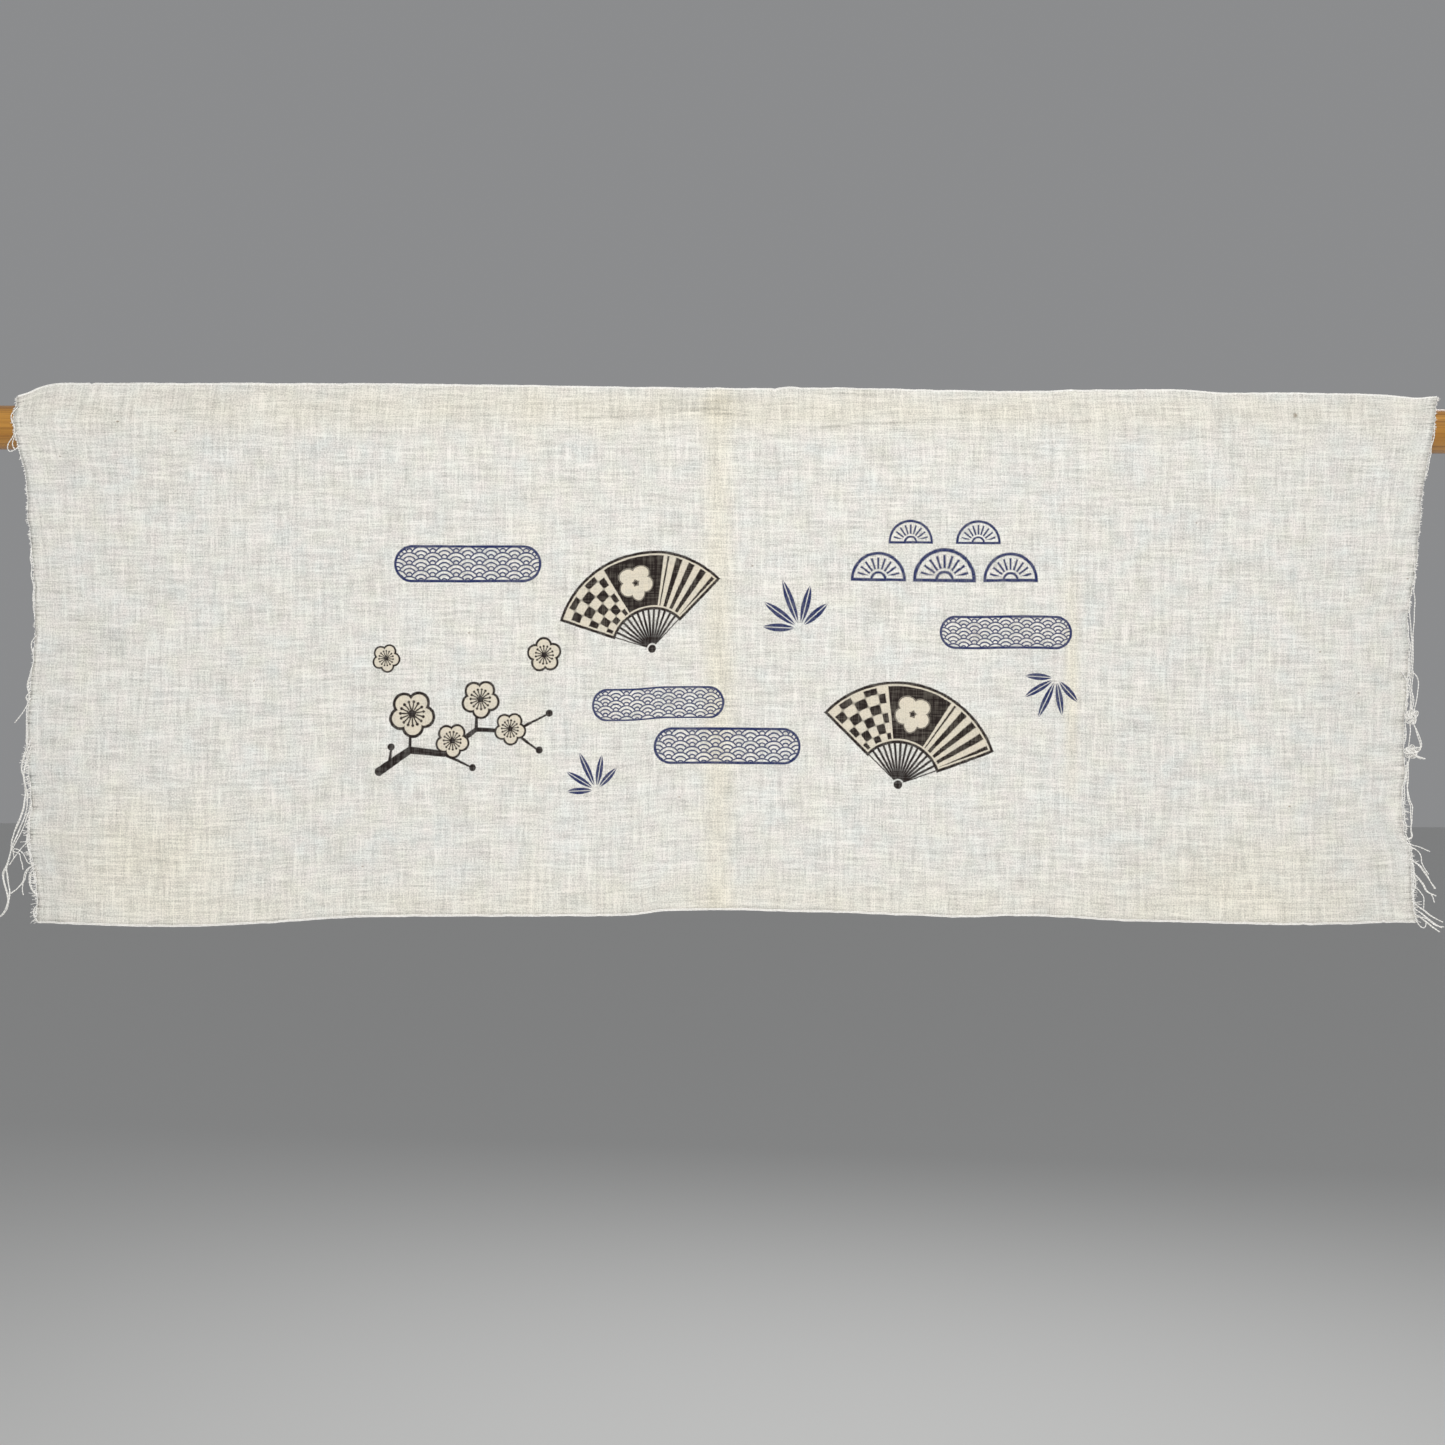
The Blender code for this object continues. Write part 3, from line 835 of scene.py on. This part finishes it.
def selvage_tree():
    tree, given = new_tree("selvage", Spacing=LOOP_SPACING * MM, Cord=SELVAGE_YARN * MM, Loop=LOOP_YARN * MM)
    even = even_line(tree, given, given["Spacing"])
    cord = yarn_along(tree, even, 6, given["Cord"])
    arch = add(tree, "GeometryNodeCurveQuadraticBezier", {
        "Resolution": 4, "Start": (-0.5, -0.3, 0), "Middle": (0, 1.15, 0), "End": (0.5, -0.3, 0)})
    tangent = add(tree, "GeometryNodeInputTangent")
    upright = add(tree, "FunctionNodeAxesToRotation", {
        "Primary Axis": named(tree, "outward", "FLOAT_VECTOR"), "Secondary Axis": tangent},
        primary_axis="Y", secondary_axis="X")
    uneven = add(tree, "FunctionNodeRandomValue", {"Min": 0.8, "Max": 1.35, "Seed": 11})
    size = reckon(tree, "MULTIPLY", uneven, given["Spacing"])
    loops = add(tree, "GeometryNodeInstanceOnPoints", {
        "Points": even, "Instance": arch, "Rotation": upright, "Scale": size})
    real_loops = add(tree, "GeometryNodeRealizeInstances", {"Geometry": loops})
    turned = yarn_along(tree, real_loops, 4, given["Loop"])
    joined = add(tree, "GeometryNodeJoinGeometry")
    for part in (cord, turned):
        tree.links.new(part.outputs["Mesh"], joined.inputs["Geometry"])
    return tree, joined


def selvage_lines():
    places = np.arange(0.5 - HALF_LENGTH, HALF_LENGTH, 1.0)
    runs, outward = [], []
    for down, inside in ((0, 2), (CUT_WIDTH, CUT_WIDTH - 2)):
        away = [(cloth_at(along, down) - cloth_at(along, inside)).normalized() for along in places]
        for inset in (0, 0.7):
            runs.append([cloth_at(along, mix(down, inside, inset / 2)) for along in places])
            outward.append(away)
    return lines("selvage_lines", runs, outward=outward)


selvages = hang("selvages", spun("selvages", selvage_lines(), *selvage_tree(), undyed_yarn))


# The raw ends are cut straight off the loom's length. The lengthwise yarns end there in short soft
# whiskers, and the last crosswise yarns have begun to work free and lie loose beside the cut.
WHISKER_SPACING = 0.36
WHISKER_LENGTH = 3.0
WHISKER_YARN = 0.2


def wavered(tree, curve, fineness, middle, most):
    """Shifts a curve's points to and fro by soft noise, about a middle, by no more than a length."""
    place = add(tree, "GeometryNodeInputPosition")
    waver = add(tree, "ShaderNodeTexNoise", {"Vector": place, "Scale": fineness, "Detail": 1.0})
    centred = add(tree, "ShaderNodeVectorMath", {0: waver.outputs["Color"], 1: middle}, operation="SUBTRACT")
    shift = add(tree, "ShaderNodeVectorMath", {0: centred, "Scale": most}, operation="SCALE")
    return add(tree, "GeometryNodeSetPosition", {"Geometry": curve, "Offset": shift})


def raw_end_tree(side):
    """Whiskers along one raw end, longer from a level downwards, where the cloth has been handled."""
    tree, given = new_tree(
        "raw_end", Spacing=WHISKER_SPACING * MM, Length=WHISKER_LENGTH * MM, Yarn=WHISKER_YARN * MM,
        Handled=-0.245 if side > 0 else -0.215, Seed=side)
    points = even_line(tree, given, given["Spacing"])
    outward = named(tree, "outward", "FLOAT_VECTOR")
    straight = add(tree, "FunctionNodeAlignRotationToVector", {"Vector": outward}, axis="X")
    stray = add(tree, "FunctionNodeRandomValue", {
        "Min": (-0.3, -0.4, -0.3), "Max": (0.3, 0.6, 0.3), "Seed": given["Seed"]}, data_type="FLOAT_VECTOR")
    turned = add(tree, "FunctionNodeRotateRotation", {
        "Rotation": straight, "Rotate By": stray}, rotation_space="LOCAL")
    chance = add(tree, "FunctionNodeRandomValue", {"Min": 0.0, "Max": 1.0, "Seed": given["Seed"]})
    longer = reckon(tree, "MULTIPLY_ADD", reckon(tree, "POWER", chance, 2.0), 1.1, 0.45)
    seat = add(tree, "GeometryNodeInputPosition")
    clumps = add(tree, "ShaderNodeTexNoise", {"Vector": seat, "Scale": 480.0, "Detail": 0.0})
    clumped = add(tree, "ShaderNodeMapRange", {
        "Value": clumps.outputs["Fac"], "From Min": 0.38, "From Max": 0.62, "To Min": 0.65, "To Max": 1.3})
    level = add(tree, "ShaderNodeSeparateXYZ", {"Vector": seat})
    clean = reckon(tree, "ADD", given["Handled"], 0.02)
    worn_low = add(tree, "ShaderNodeMapRange", {
        "Value": level.outputs["Z"], "From Min": given["Handled"], "From Max": clean, "To Min": 1.1,
        "To Max": 0.32})
    length = longer
    for share in (clumped.outputs["Result"], worn_low.outputs["Result"], given["Length"]):
        length = reckon(tree, "MULTIPLY", length, share)
    end = add(tree, "GeometryNodeCurvePrimitiveLine", {"Start": (-0.3, 0, 0), "End": (1, 0, 0)})
    ends = add(tree, "GeometryNodeInstanceOnPoints", {
        "Points": points, "Instance": end, "Rotation": turned, "Scale": length})
    real = add(tree, "GeometryNodeRealizeInstances", {"Geometry": ends})
    bendable = add(tree, "GeometryNodeResampleCurve", {"Curve": real, "Count": 5}, mode="COUNT")
    along = add(tree, "GeometryNodeSplineParameter").outputs["Factor"]
    curled = wavered(tree, bendable, 600.0, (0.5, 0.5, 0.62), reckon(tree, "MULTIPLY", along, 2.2 * MM))
    taper = reckon(tree, "MULTIPLY_ADD", along, -0.6, 1.0)
    thinned = add(tree, "GeometryNodeSetCurveRadius", {"Curve": curled, "Radius": taper})
    return tree, yarn_along(tree, thinned, 3, given["Yarn"])


def raw_end_lines(side):
    places = np.arange(0.5, CUT_WIDTH, 1.0)
    edge = [cloth_at(side * HALF_LENGTH, down) for down in places]
    inside = [cloth_at(side * (HALF_LENGTH - 4), down) for down in places]
    outward = [(a - b).normalized() for a, b in zip(edge, inside)]
    return lines("raw_end_lines", [edge], outward=[outward])


# Here and there a yarn has pulled right out of the end and hangs in a long loose thread. On the right
# two of them are tangled in knots. Each row has the number of yarns that lie together, how far apart
# they stray, then points along the thread: place along the rod, level, how far forward of the cloth.
LEFT_THREADS = (
    (1, 0, ((-451, 11, 0.3), (-454.5, 6, 0.6), (-454, 2, 0.8), (-452, -2, 0.8), (-452.5, -6.5, 0.8),
            (-456.5, -14, 1), (-455, -17.5, 1), (-448, -13.5, 0.4))),
    (1, 0, ((-451, -5, 0.4), (-453.5, -12.5, 0.7), (-452, -16, 0.6), (-449, -13, 0.3))),
    (1, 0, ((-438, -134, 0), (-441, -139, 0.5), (-439.7, -151, 1), (-443.5, -166.5, 1.2),
            (-442, -175.5, 1.2), (-451, -190, 1.5))),
    (1, 0, ((-441.5, -170, 0.8), (-444.5, -173.5, 1), (-443, -176, 1), (-441, -174, 0.4))),
    (3, 0.4, ((-441, -199, 0), (-446, -211.5, 0.6), (-447.5, -220, 1), (-445.5, -225, 1), (-445, -236, 1),
              (-447, -249.5, 1.2), (-451.5, -259.5, 1.5), (-454, -271, 1.5), (-456.5, -280.5, 1.5),
              (-458.5, -286.5, 1.5), (-457, -297.5, 1.5), (-455.5, -303, 1.5), (-457, -309, 1.5),
              (-460.5, -313, 1.5))),
    (2, 0.3, ((-441, -203, 0), (-443.4, -212, 0.6), (-445.8, -219.5, 1.4), (-445.4, -226, 1.8),
              (-443.4, -237, 1.8), (-444.4, -248, 1.8), (-448.4, -258, 1.8), (-453.8, -272, 2.4),
              (-456.2, -280.5, 2.4), (-456, -287, 2), (-454.8, -296, 2), (-455.4, -303.5, 2.4),
              (-456.8, -308, 2.4))),
    (1, 0, ((-441, -240, 0), (-445, -254, 1.5), (-450, -265, 2), (-454, -272, 2.2))),
    (1, 0, ((-441, -263.5, 0), (-444.5, -267, 1), (-449, -271.5, 1.4), (-455, -280.5, 2.2))),
    (1, 0, ((-440, -279.5, 0), (-443.5, -279, 0.6), (-446, -274, 1), (-449, -270.5, 1.6),
            (-452.5, -270.5, 1.8), (-452, -276, 1.8))),
    (1, 0, ((-452.5, -272, 2), (-448.5, -273, 2.4), (-447.5, -277, 2.4), (-446, -283, 2.4))),
    (2, 0.35, ((-438, -279.5, 0), (-441.5, -281.5, 0.6), (-444.5, -285.5, 1), (-446.5, -291, 1),
               (-450.5, -296, 1.2), (-454, -298.5, 1.2))),
    (1, 0, ((-446.2, -290, 1.2), (-446.8, -295, 1.4), (-446.4, -299.5, 1.4))),
    (2, 0.3, ((-438.5, -282, 0), (-441.5, -286, 0.8), (-442, -291, 1), (-440.5, -296.5, 0.8),
              (-438.5, -300, 0))),
    (1, 0, ((-437.5, -306, 0), (-440, -309.5, 0.6), (-439.5, -313, 0.6), (-437, -317, 0.3))),
)
RIGHT_THREADS = (
    (1, 0, ((438, -82, 0), (438.7, -92, 0.6), (438, -104, 1), (438.5, -116, 1), (437.5, -134, 1),
            (437.7, -155, 1), (437.2, -168, 1), (437, -180, 1))),
    (1, 0, ((435, -108, 0), (435.5, -119.5, 0.6), (436.6, -132.5, 1), (436.5, -155, 1.2), (436, -170, 1.2),
            (436.5, -180, 1.2))),
    (1, 0, ((433.5, -160, 0.4), (436.5, -155.5, 1.8), (440, -158.5, 2), (441, -164, 2), (439.7, -172, 1.8),
            (439, -180, 1.4))),
    (1, 0, ((430, -154, 0.5), (434, -161, 1), (436.8, -167, 1.8), (437.8, -175.5, 1.8), (437.2, -181, 1.6))),
    (1, 0, ((432, -166, 0), (434.5, -168.5, 0.8), (433.4, -172.5, 0.8), (434.8, -175.5, 1), (433.8, -179, 1),
            (435.8, -183, 1))),
    (2, 0.5, ((437.5, -187, 1.5), (440, -192, 1.6), (441.7, -197.5, 1.6), (442.8, -202, 1.6),
              (441.5, -205.5, 1.6), (438.5, -206.5, 1.4))),
    (1, 0, ((436.3, -187, 1.2), (435.7, -196, 1.2), (435.2, -206, 1.2))),
    (6, 1.1, ((437, -206.5, 1.4), (440, -208.8, 1.6), (444, -210.4, 1.6))),
    (2, 0.5, ((435.5, -209, 1.2), (434.7, -225, 1), (435.2, -236.5, 1.2), (437, -241, 1.2),
              (436.6, -255, 1.2), (437.2, -260, 1), (434.5, -262, 0))),
    (1, 0, ((434.5, -212, 1), (433.4, -225, 0.9), (432.6, -238, 0.5))),
    (1, 0, ((435.5, -264.5, 0), (442, -266.5, 1), (449, -269.3, 1.4))),
    (1, 0, ((435.5, -266, 0), (440, -268, 1), (443, -271.5, 1.4), (443.7, -277, 1.6), (448, -284, 1.8))),
    (2, 0.4, ((436, -274, 0), (441, -277, 0.8), (445, -281.5, 1), (448.5, -287, 1.2), (452.5, -293, 1.2))),
    (2, 0.4, ((437, -282, 0), (441.5, -285.5, 0.8), (445, -290.5, 1), (447.8, -295.2, 1.4),
              (453, -297.6, 1.4))),
    (1, 0, ((447, -294, 1.4), (450, -296.8, 1.8), (452.3, -301.6, 1.8))),
    (1, 0, ((438, -291, 0), (442.5, -294, 1), (445.6, -299, 1.4), (445.4, -305.8, 1.6))),
    (2, 0.3, ((438.5, -301.5, 0), (444, -305.5, 1), (450, -310.5, 1.6), (457, -314.2, 1.8))),
    (2, 0.3, ((439, -305, 0), (445, -309.4, 1.2), (451, -314.6, 1.8), (456.6, -317.8, 2))),
    (2, 0.3, ((439.5, -309, 0), (445, -312.4, 1), (450.4, -317, 1.4), (455.4, -320.6, 1.6))),
    (1, 0, ((440, -311, 0), (446, -311.6, 1.6), (452, -316, 2.2), (458, -317.4, 2.2))),
    (1, 0, ((440.5, -313.5, 0.4), (443.5, -317.5, 1), (446, -318, 1), (447, -315, 0.8), (444, -312, 0.5))),
)

# Knots: place along the rod, level, half width, half height, turns of yarn
KNOTS = ((437, -183.3, 4.0, 5.0, 7), (436.8, -205.8, 5.0, 4.0, 7))
THREAD_YARN = 0.24
THREAD_TWIST = 4.0  # length of one turn
THREAD_STEP = 1.2  # between the points of a run

# Freed yarns lie beside the cut: how far out, how much each strays, from and to what place down it
LEFT_FREED = ((1.2, 0.5, 104, 150), (1.0, 0.5, 176, 232), (0.3, 0.4, 216, 238), (0.4, 0.5, 252, 284),
              (0.4, 0.4, 308, 336), (1.2, 0.6, 272, 318), (1.9, 0.8, 278, 300))
RIGHT_FREED = ((1.1, 0.4, 26, 62), (1.1, 0.5, 150, 232), (0.3, 0.4, 176, 200), (0.3, 0.5, 236, 262),
               (0.4, 0.4, 312, 337), (1.3, 0.6, 254, 330), (2.0, 0.7, 300, 326))


def freed_yarn(side, out, strays, start, end):
    """A yarn that has slipped off the end of the cloth and lies along it."""
    run = []
    for down in np.arange(start, end, 2.0):
        edge, inside = cloth_at(side * HALF_LENGTH, down), cloth_at(side * (HALF_LENGTH - 3), down)
        away = (edge - inside).normalized()
        reach_out = out * min(1, (down - start) / 8, (end - down) / 8)
        reach_out += strays * noise.noise((down / 9, out * 7.3, side * 3.1))
        forward = 0.3 + strays * noise.noise((down / 11, out * 5.1, side * 8.7))
        run.append(edge + away * reach_out * MM - Vector((0, forward * MM, 0)))
    return run


def strand(points, side, offset, strays):
    """One yarn of a thread: a smooth run through its points, strayed a little from its neighbours."""
    lengths = [0.0]
    for one, other in zip(points, points[1:]):
        lengths.append(lengths[-1] + math.dist(one, other))
    run = []
    for i in range(int(lengths[-1] / THREAD_STEP) + 2):
        at = min(i * THREAD_STEP, lengths[-1])
        place, level, forward = (through(list(zip(lengths, column)), at) for column in zip(*points))
        spread = strays * min(1, at / 6)
        place += spread * noise.noise((at / 14, offset * 9.1, 1.5)) * 2
        forward += spread * noise.noise((at / 14, offset * 9.1, 8.5)) * 2 + 0.3 * offset
        edge = cloth_at(side * HALF_LENGTH, LEANING + LAID - max(level, CUT_WIDTH * -0.91))
        run.append(Vector((place * MM, edge.y - forward * MM, level * MM)))
    return run


def knot(place, level, half_width, half_height, turns, side):
    """Yarns wound through each other as a slack three-lobed knot."""
    edge = cloth_at(side * HALF_LENGTH, LEANING + LAID - level)
    runs = []
    for lap in range(turns):
        slack = 1 - 0.07 * lap
        lean = 0.75 * lap
        run = []
        for i in range(65):
            t = math.tau * i / 64
            across = (math.sin(t) + 2 * math.sin(2 * t)) / 3 * slack
            upward = (math.cos(t) - 2 * math.cos(2 * t)) / 3 * slack
            aside = (across * math.cos(lean) - upward * math.sin(lean)) * half_width
            up = (across * math.sin(lean) + upward * math.cos(lean)) * half_height
            forward = 1.6 - math.sin(3 * t) * 0.9 + 0.35 * math.sin(2.3 * lap)
            aside, up = aside + 0.9 * math.cos(2.1 * lap), up + 0.7 * math.sin(2.1 * lap)
            run.append(Vector(((place + aside) * MM, edge.y - forward * MM, (level + up) * MM)))
        runs.append(run)
    return runs


def thread_tree():
    """Two plies of yarn twisted round each other along each line."""
    tree, given = new_tree("loose_thread", Yarn=THREAD_YARN * MM, Twist=THREAD_TWIST * MM)
    even = even_line(tree, given, 0.7 * MM)
    slack = wavered(tree, even, 160.0, (0.5, 0.5, 0.5), 0.9 * MM)
    along = add(tree, "GeometryNodeSplineParameter").outputs["Length"]
    angle = reckon(tree, "MULTIPLY", reckon(tree, "DIVIDE", along, given["Twist"]), math.tau)
    twisted = add(tree, "GeometryNodeSetCurveTilt", {"Curve": slack, "Tilt": angle})
    ply = add(tree, "GeometryNodeCurvePrimitiveCircle", {"Resolution": 5, "Radius": given["Yarn"]})
    aside = add(tree, "ShaderNodeCombineXYZ", {"X": reckon(tree, "MULTIPLY", given["Yarn"], 0.8)})
    back = add(tree, "ShaderNodeVectorMath", {0: aside, "Scale": -1.0}, operation="SCALE")
    plies = add(tree, "GeometryNodeJoinGeometry")
    for offset in (aside, back):
        moved = add(tree, "GeometryNodeSetPosition", {"Geometry": ply, "Offset": offset})
        tree.links.new(moved.outputs["Geometry"], plies.inputs["Geometry"])
    yarns = add(tree, "GeometryNodeCurveToMesh", {
        "Curve": twisted, "Profile Curve": plies, "Fill Caps": True})
    return tree, yarns


def frayed_end(name, side, threads, knots, freed):
    """Whiskers, freed yarns, loose threads and knots of one raw end, as one mesh."""
    runs = []
    for yarns, strays, points in threads:
        runs += [strand(points, side, number, strays) for number in range(yarns)]
    for row in knots:
        runs += knot(*row, side)
    runs += [freed_yarn(side, *row) for row in freed]
    parts = [
        spun(name, raw_end_lines(side), *raw_end_tree(side), undyed_yarn),
        spun(name, lines(name, runs), *thread_tree(), undyed_yarn),
    ]
    bm = bmesh.new()
    for part in parts:
        bm.from_mesh(part)
    joined = bpy.data.meshes.new(name)
    bm.to_mesh(joined)
    bm.free()
    joined.materials.append(undyed_yarn)
    joined.shade_smooth()
    return joined


left_frayed_end = hang(
    "left_frayed_end", frayed_end("left_frayed_end", -1, LEFT_THREADS, (), LEFT_FREED),
    "left_fray",
)
right_frayed_end = hang(
    "right_frayed_end", frayed_end("right_frayed_end", 1, RIGHT_THREADS, KNOTS, RIGHT_FREED),
    "right_fray",
)


# A plain pale floor lies well below, as under a cloth that hangs at chest height.
FLOOR_DROP = 1.3
FLOOR_SIZE = 40
FLOOR_GREY = (228, 228, 226)


def floor():
    mesh = bpy.data.meshes.new("floor")
    half = FLOOR_SIZE / 2
    corners = ((-half, -half), (half, -half), (half, half), (-half, half))
    mesh.from_pydata([(x, y, -FLOOR_DROP) for x, y in corners], [], [(0, 1, 2, 3)])
    material, _, _ = finish_of("pale_floor", {"Base Color": dye(*FLOOR_GREY), "Roughness": 0.8})
    mesh.materials.append(material)
    made = bpy.data.objects.new("floor", mesh)
    bpy.context.collection.objects.link(made)
    return made


floor()


# Soft even light comes from two large panels in front, with a larger one behind for the back, and
# from a plain grey studio all round.
STUDIO_GREY = (200, 201, 203)
STUDIO_LIGHT = 0.45


def panel(name, place, towards, size, power):
    lamp = bpy.data.lights.new(name, "AREA")
    lamp.shape = "RECTANGLE"
    lamp.size, lamp.size_y = size
    lamp.energy = power
    made = bpy.data.objects.new(name, lamp)
    made.location = place
    made.rotation_euler = (Vector(towards) - Vector(place)).to_track_quat("-Z", "Y").to_euler()
    made.visible_camera = False
    bpy.context.collection.objects.link(made)


CLOTH_MIDDLE = (0.02, -0.015, -0.17)
panel("front_light", (0.0, -1.42, -0.13), CLOTH_MIDDLE, (0.9, 0.7), 13.2)
panel("high_light", (0.3, -1.35, 1.5), CLOTH_MIDDLE, (1.3, 0.7), 17)
panel("back_light", (0.4, 2.4, 1.2), CLOTH_MIDDLE, (2.4, 1.6), 33)

world = bpy.data.worlds.new("studio")
world.use_nodes = True
studio = world.node_tree.nodes["Background"].inputs
studio["Color"].default_value = dye(*STUDIO_GREY)
studio["Strength"].default_value = STUDIO_LIGHT
bpy.context.scene.world = world


# The camera stands square to the cloth, level with its middle. The rod drops a little to the right
# in the photograph, so the camera leans by as much. PICTURE is the photograph's side, in pixels.
PICTURE = 1445
PIXEL = 0.636 * MM  # on the hanging cloth
CAMERA_DISTANCE = 1.25
ROD_MIDDLE = (725, 426.2)  # where the rod's middle would show on the cloth, in pixels
LEAN = math.atan(4 / 1430)

lens = bpy.data.cameras.new("camera")
lens.sensor_width = 36
lens.lens = lens.sensor_width * CAMERA_DISTANCE / (PICTURE * PIXEL)
camera = bpy.data.objects.new("camera", lens)
camera.location = (
    (PICTURE / 2 - ROD_MIDDLE[0]) * PIXEL,
    -REACH * MM - CAMERA_DISTANCE,
    (ROD_MIDDLE[1] - PICTURE / 2) * PIXEL,
)
camera.rotation_euler = (math.pi / 2, -LEAN, 0)
bpy.context.collection.objects.link(camera)
bpy.context.scene.camera = camera
bpy.context.scene.view_settings.view_transform = "Standard"
